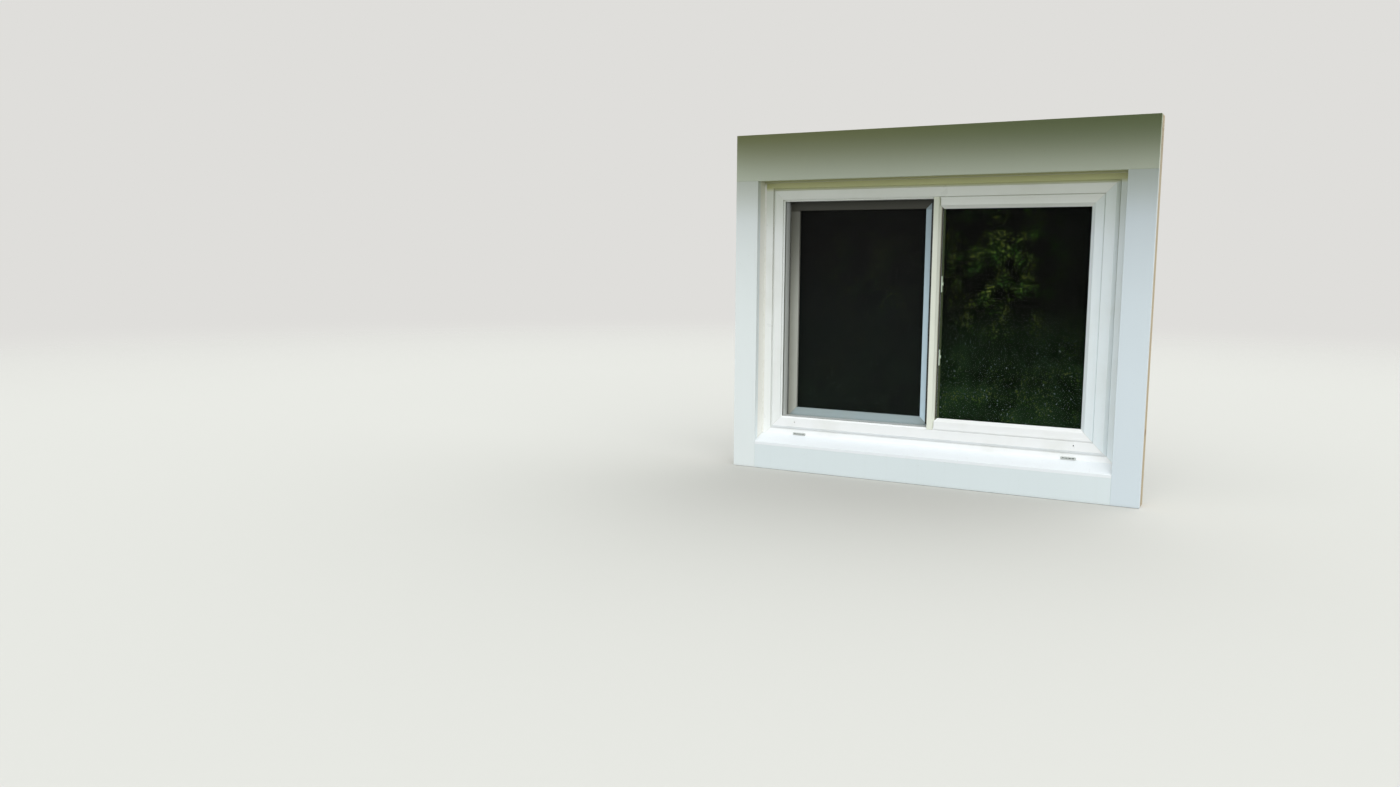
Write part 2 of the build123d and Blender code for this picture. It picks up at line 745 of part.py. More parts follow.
pieces = {
    "head_casing": head_casing,
    "left_casing": left_casing,
    "right_casing": right_casing,
    "apron_casing": apron_casing,
    "sill_ledge": sill_ledge,
    "head_return": head_return,
    "left_return": left_return,
    "right_return": right_return,
    "head_packing": head_packing,
    "left_packing": left_packing,
    "right_packing": right_packing,
    "apron_packing": apron_packing,
    "frame_head": frame_head,
    "frame_sill": frame_sill,
    "frame_left_jamb": frame_left_jamb,
    "frame_right_jamb": frame_right_jamb,
    "weep_covers": weep_covers,
    "fixed_top_rail": fixed_top_rail,
    "fixed_bottom_rail": fixed_bottom_rail,
    "fixed_side_stile": fixed_side_stile,
    "fixed_meeting_stile": fixed_meeting_stile,
    "fixed_outer_glass": fixed_outer_glass,
    "fixed_inner_glass": fixed_inner_glass,
    "fixed_glass_spacer": fixed_glass_spacer,
    "fixed_glazing_beads": fixed_glazing_beads,
    "sash_top_rail": sash_top_rail,
    "sash_bottom_rail": sash_bottom_rail,
    "sash_pull_stile": sash_pull_stile,
    "sash_meeting_stile": sash_meeting_stile,
    "sash_outer_glass": sash_outer_glass,
    "sash_inner_glass": sash_inner_glass,
    "sash_glass_spacer": sash_glass_spacer,
    "sash_glazing_beads": sash_glazing_beads,
    "sash_rollers": sash_rollers,
    "roller_housings": roller_housings,
    "cam_locks": cam_locks,
    "lock_keepers": lock_keepers,
    "screen_top_rail": screen_top_rail,
    "screen_bottom_rail": screen_bottom_rail,
    "screen_left_stile": screen_left_stile,
    "screen_right_stile": screen_right_stile,
    "screen_mesh": screen_mesh,
    "screen_spline": screen_spline,
    "screen_seal": screen_seal,
    "sash_weatherstrips": sash_weatherstrips,
}

os.makedirs("parts", exist_ok=True)
for name, piece in pieces.items():
    piece.part.label = name
    export_step(piece.part, f"parts/{name}.step")
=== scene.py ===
import math
import bpy
from mathutils import Matrix, Vector


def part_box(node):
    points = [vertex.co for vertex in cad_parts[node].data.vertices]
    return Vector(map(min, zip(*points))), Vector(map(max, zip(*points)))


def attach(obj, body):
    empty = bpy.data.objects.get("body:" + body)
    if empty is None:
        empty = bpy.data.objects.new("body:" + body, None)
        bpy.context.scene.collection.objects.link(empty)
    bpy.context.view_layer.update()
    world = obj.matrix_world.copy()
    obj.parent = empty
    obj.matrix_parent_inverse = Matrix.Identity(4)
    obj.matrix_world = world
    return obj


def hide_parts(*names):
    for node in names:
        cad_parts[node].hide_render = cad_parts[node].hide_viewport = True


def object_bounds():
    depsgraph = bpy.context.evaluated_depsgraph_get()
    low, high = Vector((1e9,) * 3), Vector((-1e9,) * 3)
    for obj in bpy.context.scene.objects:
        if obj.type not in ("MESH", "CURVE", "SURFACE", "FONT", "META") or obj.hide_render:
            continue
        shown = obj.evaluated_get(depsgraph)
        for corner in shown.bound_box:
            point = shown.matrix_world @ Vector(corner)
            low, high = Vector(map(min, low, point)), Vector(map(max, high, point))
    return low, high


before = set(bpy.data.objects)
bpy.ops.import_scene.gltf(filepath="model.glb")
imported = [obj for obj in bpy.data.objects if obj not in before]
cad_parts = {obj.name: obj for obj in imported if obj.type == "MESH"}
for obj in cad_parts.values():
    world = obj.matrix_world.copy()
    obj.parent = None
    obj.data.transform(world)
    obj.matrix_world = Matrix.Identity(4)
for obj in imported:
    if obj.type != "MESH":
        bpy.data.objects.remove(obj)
cad_low, cad_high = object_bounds()


# The camera stands to the right of the window, at about the height of its upper part, and looks
# slightly down. Its place and lens were worked out from the photograph's straight edges.
camera_place = Vector((0.8599, -2.924, 0.5436))
camera_turn = math.radians(28.524)
camera_tilt = math.radians(90 - 7.102)
camera_roll = math.radians(0.415)
sensor_width = 36          # in millimetres, as the lens is
lens = 27.53

bpy.ops.object.camera_add()
camera = bpy.context.object
camera.name = "camera"
camera.data.sensor_width = sensor_width
camera.data.lens = lens
camera.matrix_world = (
    Matrix.Translation(camera_place)
    @ Matrix.Rotation(camera_turn, 4, "Z")
    @ Matrix.Rotation(camera_tilt, 4, "X")
    @ Matrix.Rotation(camera_roll, 4, "Z")
)
bpy.context.scene.camera = camera
bpy.context.scene.view_settings.view_transform = "Standard"


# The studio: a pale matt floor that fades into a plain pale surround, a broad soft lamp from the
# front right and a little above, weaker ones from the left and from behind, and a flag over the
# front that keeps some light off the head, for the shading of the photograph.
floor_colour = "cfceca"
floor_bounce_colour = "86867f"
floor_gap = 0.0005
floor_solid_to = 3.0
floor_gone_at = 9.0
flag_colour = "6e7253"
flag_depth = 0.35
flag_past_left = 0.1
flag_past_right = 0.35
flag_above = 0.012
flag_clear = 0.002         # between the flag and the window's front
lamp_height = 3.0
surround_colour = "dfdedb"
surround_light_colour = "f4fbfa"
surround_light = 0.6


def linear(sheet_colour):
    """The linear RGBA of an sRGB colour that is written as six hex digits."""
    levels = [int(sheet_colour[i:i + 2], 16) / 255 for i in (0, 2, 4)]
    return [v / 12.92 if v < 0.0405 else ((v + 0.055) / 1.055) ** 2.4 for v in levels] + [1.0]


def add_node(tree, kind, inputs=None, **settings):
    """Adds a node with its settings, and gives its inputs their links, hex colours or values."""
    node = tree.nodes.new(kind)
    for name, value in settings.items():
        setattr(node, name, value)
    for name, value in (inputs or {}).items():
        if isinstance(value, bpy.types.NodeSocket):
            tree.links.new(value, node.inputs[name])
        elif isinstance(value, str):
            node.inputs[name].default_value = linear(value)
        else:
            node.inputs[name].default_value = value
    return node


def new_material(name):
    """A new material and its node tree, which is empty."""
    material = bpy.data.materials.new(name)
    material.use_nodes = True
    material.node_tree.nodes.clear()
    return material, material.node_tree


def settle(piece):
    """Puts the place, turn and size of a new object into its mesh."""
    bpy.ops.object.select_all(action="DESELECT")
    piece.select_set(True)
    bpy.context.view_layer.objects.active = piece
    bpy.ops.object.transform_apply(location=True, rotation=True, scale=True)


def looked_at(tree):
    """1 for a ray that the eye follows, straight or by a mirror or a pane, and 0 for light."""
    rays = add_node(tree, "ShaderNodeLightPath")
    direct = add_node(
        tree,
        "ShaderNodeMath",
        {0: rays.outputs["Is Camera Ray"], 1: rays.outputs["Is Glossy Ray"]},
        operation="MAXIMUM",
    )
    return add_node(
        tree,
        "ShaderNodeMath",
        {0: direct.outputs[0], 1: rays.outputs["Is Transmission Ray"]},
        operation="MAXIMUM",
    ).outputs[0]


def floor_material():
    """Matt pale paint, solid round the object and see-through far out; it bounces little light."""
    material, tree = new_material("studio_floor_paint")
    place = add_node(tree, "ShaderNodeTexCoord").outputs["Object"]
    far = add_node(tree, "ShaderNodeVectorMath", {0: place}, operation="LENGTH")
    fade = add_node(
        tree,
        "ShaderNodeMapRange",
        {"Value": far.outputs["Value"], "From Min": floor_solid_to, "From Max": floor_gone_at},
        interpolation_type="SMOOTHSTEP",
    ).outputs[0]
    bounce = add_node(tree, "ShaderNodeBsdfDiffuse", {"Color": floor_bounce_colour}).outputs[0]
    paint = add_node(tree, "ShaderNodeBsdfDiffuse", {"Color": floor_colour}).outputs[0]
    solid = add_node(tree, "ShaderNodeMixShader", {0: looked_at(tree), 1: bounce, 2: paint}).outputs[0]
    clear = add_node(tree, "ShaderNodeBsdfTransparent").outputs[0]
    mixed = add_node(tree, "ShaderNodeMixShader", {0: fade, 1: solid, 2: clear})
    add_node(tree, "ShaderNodeOutputMaterial", {"Surface": mixed.outputs[0]})
    return material


bpy.ops.object.select_all(action="DESELECT")
bpy.ops.mesh.primitive_circle_add(
    vertices=96, radius=floor_gone_at, fill_type="NGON", location=(0, 0, cad_low.z - floor_gap)
)
floor = bpy.context.object
floor.name = "studio_floor"
settle(floor)
floor.data.materials.append(floor_material())

flag_left = cad_low.x - flag_past_left
flag_right = cad_high.x + flag_past_right
flag_middle = cad_low.y - flag_clear - flag_depth / 2
bpy.ops.object.select_all(action="DESELECT")
bpy.ops.mesh.primitive_plane_add(
    size=1, location=((flag_left + flag_right) / 2, flag_middle, cad_high.z + flag_above)
)
flag = bpy.context.object
flag.name = "studio_flag"
flag.scale = (flag_right - flag_left, flag_depth, 1)
settle(flag)
flag_cloth, flag_tree = new_material("studio_flag_cloth")
cloth = add_node(flag_tree, "ShaderNodeBsdfDiffuse", {"Color": flag_colour})
add_node(flag_tree, "ShaderNodeOutputMaterial", {"Surface": cloth.outputs[0]})
flag.data.materials.append(flag_cloth)
flag.visible_camera = False
flag.visible_glossy = False
flag.visible_transmission = False


def broad_lamp(name, towards, strength, spread, colour):
    """A far, broad soft source in the direction that towards gives, with that spread in degrees."""
    bpy.ops.object.light_add(type="SUN", location=(0, 0, lamp_height))
    lamp = bpy.context.object
    lamp.name = name
    lamp.data.energy = strength
    lamp.data.angle = math.radians(spread)
    lamp.data.color = linear(colour)[:3]
    lamp.rotation_euler = Vector(towards).to_track_quat("Z", "Y").to_euler()


broad_lamp("front_lamp", (0.40, -0.70, 0.62), strength=2.05, spread=70, colour="fffefc")
broad_lamp("side_lamp", (-0.75, -0.6, 0.25), strength=0.5, spread=90, colour="ffffff")
broad_lamp("back_lamp", (0.5, 0.6, 0.7), strength=1.5, spread=90, colour="ffffff")

world = bpy.data.worlds.new("plain_surround")
bpy.context.scene.world = world
world.use_nodes = True
sky = world.node_tree
sky.nodes.clear()
lit = add_node(sky, "ShaderNodeBackground", {"Color": surround_light_colour, "Strength": surround_light})
shown = add_node(sky, "ShaderNodeBackground", {"Color": surround_colour, "Strength": 1.0})
either = add_node(sky, "ShaderNodeMixShader", {0: looked_at(sky), 1: lit.outputs[0], 2: shown.outputs[0]})
add_node(sky, "ShaderNodeOutputWorld", {"Surface": either.outputs[0]})


# The trim boards: cellular PVC sheet, cut from factory-smooth white stock and nailed over the packing. The
# stock gives a satin, slightly wavy white; rain leaves thin streaks and dust on it. The head board carries
# a painted olive shade, darker towards its right end, and the tops of the side casings and returns a
# lighter one; dust and painted shade darken the corners.
mm_per_metre = 1000
board_wave_mm = 220        # length of the soft waves in a nailed board
board_wave_depth = 0.003
peel_mm = 2.38             # the fine orange peel of the stock's skin
peel_depth = 0.0002
streak_width_mm = 11
streak_length_mm = 500
speck_mm = 4
board_corner_reach = 0.014
deep_corner = 0.15         # how open a corner is where it is at its darkest
casing_shade_span = (0.64, 0.78)    # the heights between which the side casings' painted shade comes in
head_shade_below = 0.01     # how far below the head its painted shade begins, and how far above it is full
head_shade_above = 0.02
return_shade_length = 0.16
streak_colour = "a9a796"
speck_colour = "8d8a78"
board_corner_colour = "97937a"
board_painted_shade_colour = "939958"
painted_shade_end_colour = "52795c"


def layered(tree, colour, *layers):
    """A colour with others laid over it in turn, each by its own share."""
    for share, over in layers:
        mix = add_node(tree, "ShaderNodeMix", {0: share, 6: colour, 7: over}, data_type="RGBA")
        colour = mix.outputs[2]
    return colour


def where_all(tree, share, *others):
    """The share of a place where all of these hold: their product."""
    for other in others:
        share = add_node(tree, "ShaderNodeMath", {0: share, 1: other}, operation="MULTIPLY").outputs[0]
    return share


def close_material(material, sockets):
    """Adds the surface shader with these sockets, and the output."""
    shader = add_node(material.node_tree, "ShaderNodeBsdfPrincipled", sockets)
    add_node(material.node_tree, "ShaderNodeOutputMaterial", {"Surface": shader.outputs[0]})
    return material


# The darkening of corners that this gives is partly dust, partly painted shade.
def crevice_share(tree, reach, full, open_level=0.75):
    """How deep in a corner a point lies, from 0 where it is open to open_level, to full."""
    hidden = add_node(tree, "ShaderNodeAmbientOcclusion", {"Distance": reach}, samples=6)
    return add_node(
        tree,
        "ShaderNodeMapRange",
        {"Value": hidden.outputs["AO"], "From Min": open_level, "From Max": deep_corner, "To Max": full},
    ).outputs[0]


def span_share(tree, place, axis, span, full):
    """0 before a span along an axis and full after it, with a soft step from its start to its end."""
    parts = add_node(tree, "ShaderNodeSeparateXYZ", {0: place})
    return add_node(
        tree,
        "ShaderNodeMapRange",
        {"Value": parts.outputs[axis], "From Min": span[0], "From Max": span[1], "To Max": full},
        interpolation_type="SMOOTHSTEP",
    ).outputs[0]


def scale_of(size_mm):
    """The scale at which a pattern's features are of about that size in millimetres."""
    return mm_per_metre / size_mm


def patches(tree, place, size_mm, detail, levels, full=1.0, roughness=0.5):
    """Patches of about that size: 0 below the first of two levels of a noise, full above the second."""
    noise = add_node(
        tree,
        "ShaderNodeTexNoise",
        {"Vector": place, "Scale": scale_of(size_mm), "Detail": detail, "Roughness": roughness},
    )
    return add_node(
        tree,
        "ShaderNodeMapRange",
        {"Value": noise.outputs["Fac"], "From Min": levels[0], "From Max": levels[1], "To Max": full},
    ).outputs[0]


def drawn_lines(tree, place, along, pitch_mm, length_mm, detail, distortion=0.0):
    """A noise drawn out into lines along X or Z, of about that pitch and length."""
    across, lengthwise = scale_of(pitch_mm), scale_of(length_mm)
    scales = {"X": (lengthwise, across, across), "Z": (across, across, lengthwise)}
    drawn = add_node(tree, "ShaderNodeMapping", {"Vector": place, "Scale": scales[along]})
    return add_node(
        tree,
        "ShaderNodeTexNoise",
        {"Vector": drawn.outputs[0], "Scale": 1.0, "Detail": detail, "Distortion": distortion},
    ).outputs["Fac"]


def board_material(name, colour, painted_shade=0.0, painted_shade_span=(0.0, 1.0), right_end=0.0):
    """Cellular PVC trim board: satin white with soft waves, streaks and specks, its corners darkened by
    dust and painted shade, and a painted olive shade if one is given.
    """
    material, tree = new_material(name)
    place = add_node(tree, "ShaderNodeTexCoord").outputs["Object"]
    streaks = add_node(
        tree,
        "ShaderNodeMapRange",
        {
            "Value": drawn_lines(tree, place, "Z", streak_width_mm, streak_length_mm, detail=3.0),
            "From Min": 0.56,
            "From Max": 0.8,
            "To Max": 0.03,
        },
    ).outputs[0]
    specks = patches(tree, place, speck_mm, detail=1.0, levels=(0.73, 0.8), full=0.35)
    layers = [
        (streaks, streak_colour),
        (specks, speck_colour),
        (crevice_share(tree, board_corner_reach, full=0.4), board_corner_colour),
    ]
    # The olive layer over a span of heights is painted shade, and it is darker towards the right end if
    # right_end is given.
    if painted_shade > 0:
        painted_shade_share = span_share(tree, place, "Z", painted_shade_span, painted_shade)
        layers.append((painted_shade_share, board_painted_shade_colour))
    if right_end > 0:
        end_share = span_share(tree, place, "X", (cad_low.x, cad_high.x), right_end)
        layers.append((where_all(tree, painted_shade_share, end_share), painted_shade_end_colour))
    wave = add_node(
        tree, "ShaderNodeTexNoise", {"Vector": place, "Scale": scale_of(board_wave_mm), "Detail": 1.0}
    ).outputs["Fac"]
    waves = add_node(
        tree, "ShaderNodeBump", {"Height": wave, "Strength": 1.0, "Distance": board_wave_depth}
    ).outputs[0]
    peel = add_node(
        tree, "ShaderNodeTexNoise", {"Vector": place, "Scale": scale_of(peel_mm), "Detail": 2.0}
    ).outputs["Fac"]
    skin = add_node(
        tree,
        "ShaderNodeBump",
        {"Height": peel, "Strength": 0.35, "Distance": peel_depth, "Normal": waves},
    )
    rough = add_node(
        tree,
        "ShaderNodeMapRange",
        {"Value": peel, "From Min": 0.3, "From Max": 0.7, "To Min": 0.4, "To Max": 0.52},
    )
    return close_material(
        material,
        {
            "Base Color": layered(tree, colour, *layers),
            "Roughness": rough.outputs[0],
            "IOR": 1.5,
            "Normal": skin.outputs[0],
        },
    )


def dress(material, *nodes):
    """Gives these CAD nodes the material."""
    for name in nodes:
        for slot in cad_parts[name].material_slots:
            slot.material = material


head_low, head_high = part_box("head_casing")
head_shade_span = (head_low.z - head_shade_below, head_high.z + head_shade_above)
return_shade_span = (head_low.z - return_shade_length, head_low.z)
# The right casing's darker bluish white, the head board's darker olive grey and the head return's olive
# are painted shade.
dress(board_material("pvc_board_left", "e9f0f2", painted_shade=0.32, painted_shade_span=casing_shade_span), "left_casing")
dress(board_material("pvc_board_right_shaded", "d9e4ec", painted_shade=0.35, painted_shade_span=casing_shade_span), "right_casing")
dress(board_material("pvc_board_apron", "e2ecf0"), "apron_casing")
dress(
    board_material("pvc_board_head_shaded", "d0d8c6", painted_shade=0.9, painted_shade_span=head_shade_span, right_end=0.42),
    "head_casing",
)
dress(board_material("pvc_ledge", "f1f6fb"), "sill_ledge")
dress(board_material("pvc_return_head_shaded", "b0af7c"), "head_return")
dress(
    board_material("pvc_return_side", "f9f8f2", painted_shade=0.3, painted_shade_span=return_shade_span),
    "left_return",
    "right_return",
)


# The packing behind the boards: sawn softwood battens, nailed up before the boards go on. Sawn
# spruce is pale yellow brown, with darker growth lines along it and a rough, matt face.
growth_line_pitch_mm = 5.56    # coarser than the real ones, so that they show
growth_line_length_mm = 500
knot_spacing_mm = 143
saw_mark_depth = 0.0006
spruce_colour = "c4b598"
growth_line_colour = "9a8566"
knot_colour = "6f4a2a"


def softwood_material(name, along):
    """Sawn spruce with its growth lines along X or Z."""
    material, tree = new_material(name)
    place = add_node(tree, "ShaderNodeTexCoord").outputs["Object"]
    rings = drawn_lines(
        tree, place, along, growth_line_pitch_mm, growth_line_length_mm, detail=5.0, distortion=0.6
    )
    lines = add_node(tree, "ShaderNodeMapRange", {"Value": rings, "From Min": 0.38, "From Max": 0.68})
    cells = add_node(
        tree, "ShaderNodeTexVoronoi", {"Vector": place, "Scale": scale_of(knot_spacing_mm)}, feature="F1"
    )
    knots = add_node(
        tree,
        "ShaderNodeMapRange",
        {"Value": cells.outputs["Distance"], "From Min": 0.09, "From Max": 0.05, "To Max": 0.7},
    )
    wood = layered(
        tree, spruce_colour, (lines.outputs[0], growth_line_colour), (knots.outputs[0], knot_colour)
    )
    bump = add_node(
        tree, "ShaderNodeBump", {"Height": rings, "Strength": 0.6, "Distance": saw_mark_depth}
    )
    return close_material(material, {"Base Color": wood, "Roughness": 0.8, "Normal": bump.outputs[0]})


dress(softwood_material("sawn_spruce_level", "X"), "head_packing", "apron_packing")
dress(softwood_material("sawn_spruce_upright", "Z"), "left_packing", "right_packing")


# The main frame: white vinyl (uPVC) extrusions, cut at 45 degrees and welded at the corners. The die
# leaves faint lines along each length, the surface is semi-gloss, the cleaned weld shows as a fine line
# across each corner, and dust and painted shade darken the grooves. A painted greenish shade lies over the
# upper front, a painted olive shade on the head's flange, and dirt and painted shade in the pocket.
die_line_pitch_mm = 3.5    # coarser than the real ones, so that they show
die_line_length_mm = 667
die_line_depth = 0.00012
weld_width = 0.0005
weld_sink = 1.2            # how far the weld lies below the face, in depths of a die line
dust_cloud_mm = 111
vinyl_corner_reach = 0.012
corner_dark_span = (0.2, 0.66)    # heights between which the corners' darkening grows to full, upwards
low_corner_share = 0.25        # how much of the corners' darkening is left low down
pocket_inset = 0.094       # the pocket's walls, measured inwards from the edge of the fins
pocket_front = -0.0136
undercut_end = -0.007
pocket_back = 0.0345
pocket_front_step = 0.0006    # how sharply the pocket's dirt and painted shade begin, and how sharply they end at the back
pocket_back_step = 0.001
least_pocket_dark = 0.15
wall_pocket_dark = 0.4           # what is added to it towards the back
undercut_pocket_dark = 0.8       # and in the undercut
top_shade_span = (0.6, 0.73)    # the heights between which the painted greenish shade comes in
top_shade_most = 0.3
flange_shade_span = (0.743, 0.757)    # the same for the painted olive shade on the head's flange
shade_back = -0.008         # how far back the two painted shades go
shade_back_step = 0.002
frame_white = "f7f9fb"
# A darker, bluer white for the right side, as painted shade.
right_side_shaded_white = "eaf3f8"
dust_cloud_colour = "c9cabb"
vinyl_corner_colour = "8a8468"
top_shade_colour = "a9b48c"
flange_shade_colour = "c1c38c"
pocket_dirt_and_shade_colour = "5c6052"
weld_colour = "c3c2b5"


def rectangle_inset(tree, place, low, high):
    """How far a point lies inside a rectangle of four members, across and up."""
    from_low = add_node(tree, "ShaderNodeVectorMath", {0: place, 1: low}, operation="SUBTRACT")
    from_high = add_node(tree, "ShaderNodeVectorMath", {0: high, 1: place}, operation="SUBTRACT")
    inset = add_node(
        tree,
        "ShaderNodeVectorMath",
        {0: from_low.outputs[0], 1: from_high.outputs[0]},
        operation="MINIMUM",
    )
    parts = add_node(tree, "ShaderNodeSeparateXYZ", {0: inset.outputs[0]})
    return parts.outputs["X"], parts.outputs["Z"]


def mitre_share(tree, place, low, high, width):
    """1 on the 45 degree joints of the four members within a rectangle, 0 away from them."""
    across, up = rectangle_inset(tree, place, low, high)
    apart = add_node(tree, "ShaderNodeMath", {0: across, 1: up}, operation="SUBTRACT")
    apart = add_node(tree, "ShaderNodeMath", {0: apart.outputs[0]}, operation="ABSOLUTE")
    return add_node(
        tree,
        "ShaderNodeMapRange",
        {"Value": apart.outputs[0], "From Min": 0.0, "From Max": width, "To Min": 1.0, "To Max": 0.0},
    ).outputs[0]


def pocket_dirt_and_shade_share(tree, place, low, high):
    """The dirt and painted shade in the window's pocket: heaviest in the undercut, and growing inwards on
    its walls.
    """
    across, up = rectangle_inset(tree, place, low, high)
    least = add_node(tree, "ShaderNodeMath", {0: across, 1: up}, operation="MINIMUM").outputs[0]
    inside = add_node(tree, "ShaderNodeMath", {0: least, 1: pocket_inset}, operation="GREATER_THAN")
    behind = span_share(tree, place, "Y", (pocket_front, pocket_front + pocket_front_step), 1.0)
    before = span_share(tree, place, "Y", (pocket_back + pocket_back_step, pocket_back), 1.0)
    wall = span_share(tree, place, "Y", (undercut_end, pocket_back), wall_pocket_dark)
    undercut_span = (undercut_end + pocket_front_step, undercut_end)
    undercut = span_share(tree, place, "Y", undercut_span, undercut_pocket_dark)
    pocket_dark = add_node(tree, "ShaderNodeMath", {0: wall, 1: undercut}, operation="ADD").outputs[0]
    pocket_dark = add_node(tree, "ShaderNodeMath", {0: pocket_dark, 1: least_pocket_dark}, operation="ADD", use_clamp=True)
    return where_all(tree, inside.outputs[0], behind, before, pocket_dark.outputs[0])


def vinyl_material(name, along, corners=None, colour=frame_white, in_frame=False):
    """White extruded vinyl, with die lines along X or Z, and a weld line if it has corners."""
    material, tree = new_material(name)
    place = add_node(tree, "ShaderNodeTexCoord").outputs["Object"]
    height = drawn_lines(tree, place, along, die_line_pitch_mm, die_line_length_mm, detail=2.0)
    dust = add_node(
        tree, "ShaderNodeTexNoise", {"Vector": place, "Scale": scale_of(dust_cloud_mm), "Detail": 5.0}
    ).outputs["Fac"]
    dust_share = add_node(
        tree, "ShaderNodeMapRange", {"Value": dust, "From Min": 0.5, "From Max": 0.8, "To Max": 0.22}
    )
    corner_height_share = add_node(
        tree,
        "ShaderNodeMath",
        {0: span_share(tree, place, "Z", corner_dark_span, 1 - low_corner_share), 1: low_corner_share},
        operation="ADD",
    )
    # Dust and painted shade in the corners, fuller higher up.
    corner_dust_and_shade = where_all(
        tree, crevice_share(tree, vinyl_corner_reach, full=0.75, open_level=0.5), corner_height_share.outputs[0]
    )
    outside = span_share(tree, place, "Y", (shade_back + shade_back_step, shade_back), 1.0)
    # A painted greenish shade over the upper front.
    top_shade = where_all(tree, outside, span_share(tree, place, "Z", top_shade_span, top_shade_most))
    layers = [
        (dust_share.outputs[0], dust_cloud_colour),
        (corner_dust_and_shade, vinyl_corner_colour),
        (top_shade, top_shade_colour),
    ]
    if in_frame:
        # A painted olive shade on the head's flange.
        painted_shade = where_all(tree, outside, span_share(tree, place, "Z", flange_shade_span, 1.0))
        layers.append((painted_shade, flange_shade_colour))
        layers.append((pocket_dirt_and_shade_share(tree, place, *corners), pocket_dirt_and_shade_colour))
    if corners:
        weld = mitre_share(tree, place, *corners, weld_width)
        layers.append((weld, weld_colour))
        height = add_node(
            tree, "ShaderNodeMath", {0: weld, 1: -weld_sink, 2: height}, operation="MULTIPLY_ADD"
        ).outputs[0]
    bump = add_node(
        tree, "ShaderNodeBump", {"Height": height, "Strength": 0.5, "Distance": die_line_depth}
    )
    rough = add_node(
        tree,
        "ShaderNodeMapRange",
        {"Value": dust, "From Min": 0.3, "From Max": 0.75, "To Min": 0.27, "To Max": 0.42},
    )
    return close_material(
        material,
        {
            "Base Color": layered(tree, colour, *layers),
            "Roughness": rough.outputs[0],
            "IOR": 1.53,
            "Normal": bump.outputs[0],
        },
    )


frame_corners = (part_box("frame_left_jamb")[0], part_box("frame_right_jamb")[1])
dress(vinyl_material("vinyl_frame_level", "X", frame_corners, in_frame=True), "frame_head", "frame_sill")
dress(vinyl_material("vinyl_frame_left", "Z", frame_corners, "f3f6f6", in_frame=True), "frame_left_jamb")
dress(
    vinyl_material("vinyl_frame_right", "Z", frame_corners, right_side_shaded_white, in_frame=True),
    "frame_right_jamb",
)


# The fixed lite: the same vinyl, its rails and side stile welded into the frame's rebate, and a
# meeting stile that the sash closes against. Its glazing beads snap in from the room side.
dress(
    vinyl_material("vinyl_fixed_level", "X", frame_corners),
    "fixed_top_rail",
    "fixed_bottom_rail",
    "fixed_glazing_beads",
)
dress(vinyl_material("vinyl_fixed_side", "Z", frame_corners, right_side_shaded_white), "fixed_side_stile")
dress(vinyl_material("vinyl_meeting_stile", "Z", colour="edf0e4"), "fixed_meeting_stile")


# The sliding sash: four welded vinyl members with beads, on the inner track. The closing edge of its
# meeting stile is darkened by dust and painted shade, and made duller.
edge_dark_depth = 0.004    # how far in from the stile's closing edge the dust and painted shade go
edge_dark_step = 0.0002
room_face_step = 0.001
edge_dust_and_shade_colour = "566144"
sash_corners = (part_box("sash_pull_stile")[0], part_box("sash_meeting_stile")[1])


def dust_and_shade_on_edge(material, corner):
    """Lays dust and painted shade on the closing edge at that corner, except on the room face."""
    tree = material.node_tree
    shader = tree.nodes["Principled BSDF"]
    place = add_node(tree, "ShaderNodeTexCoord").outputs["Object"]
    dark_from = corner.x - edge_dark_depth
    share = where_all(
        tree,
        span_share(tree, place, "X", (dark_from - edge_dark_step, dark_from), 1.0),
        span_share(tree, place, "Y", (corner.y - room_face_step, corner.y - 2 * room_face_step), 1.0),
    )
    under = shader.inputs["Base Color"].links[0].from_socket
    tree.links.new(layered(tree, under, (share, edge_dust_and_shade_colour)), shader.inputs["Base Color"])
    dull = add_node(tree, "ShaderNodeMapRange", {"Value": share, "To Min": 0.5, "To Max": 0.0})
    tree.links.new(dull.outputs[0], shader.inputs["Specular IOR Level"])
    return material


dress(
    vinyl_material("vinyl_sash_level", "X", sash_corners),
    "sash_top_rail",
    "sash_bottom_rail",
    "sash_glazing_beads",
)
dress(vinyl_material("vinyl_sash_pull", "Z", sash_corners), "sash_pull_stile")
dress(
    dust_and_shade_on_edge(vinyl_material("vinyl_sash_meeting", "Z", sash_corners), sash_corners[1]),
    "sash_meeting_stile",
)


# The glass units: two panes of float glass round a sealed gap. The outer pane is clear; the inner one is
# painted near black as the shade of a dark room behind it, with painted green reflections over its front.
# Along the meeting stile it is clear, where the sash's edge shows through.
clear_strip = 0.0076
strip_start_step = 0.0005
strip_end_step = 0.001
cover_before_strip = 0.6   # how solid the pane is behind the meeting stile
glass_dust_mm = 33.3
wash_span = (0.46, 0.14)   # the heights between which the even painted reflection comes in, downwards
wash_mm = 143
clump_radii = (0.14, 0.17)    # of the clumps' whole group, across and up
clump_reach = (1.5, 0.3)   # from none to full, in those radii from the middle
clump_mm = 66.7
fleck_mm = 6.06
fleck_tone_mm = 71.4
spot_mm = 7.14
mottle_roughness = 0.68    # of all these patterns but the clumps
low_fleck_share = 0.3      # how many of the flecks the even wash has too
clear_glass_colour = "101812"
room_shade_glass_colour = "040503"
wash_reflection_colour = "20341f"
clump_reflection_colour = "1e3512"
fleck_reflection_green = "417225"
fleck_reflection_yellow = "7f8c35"
spot_reflection_colour = "9fb0bb"


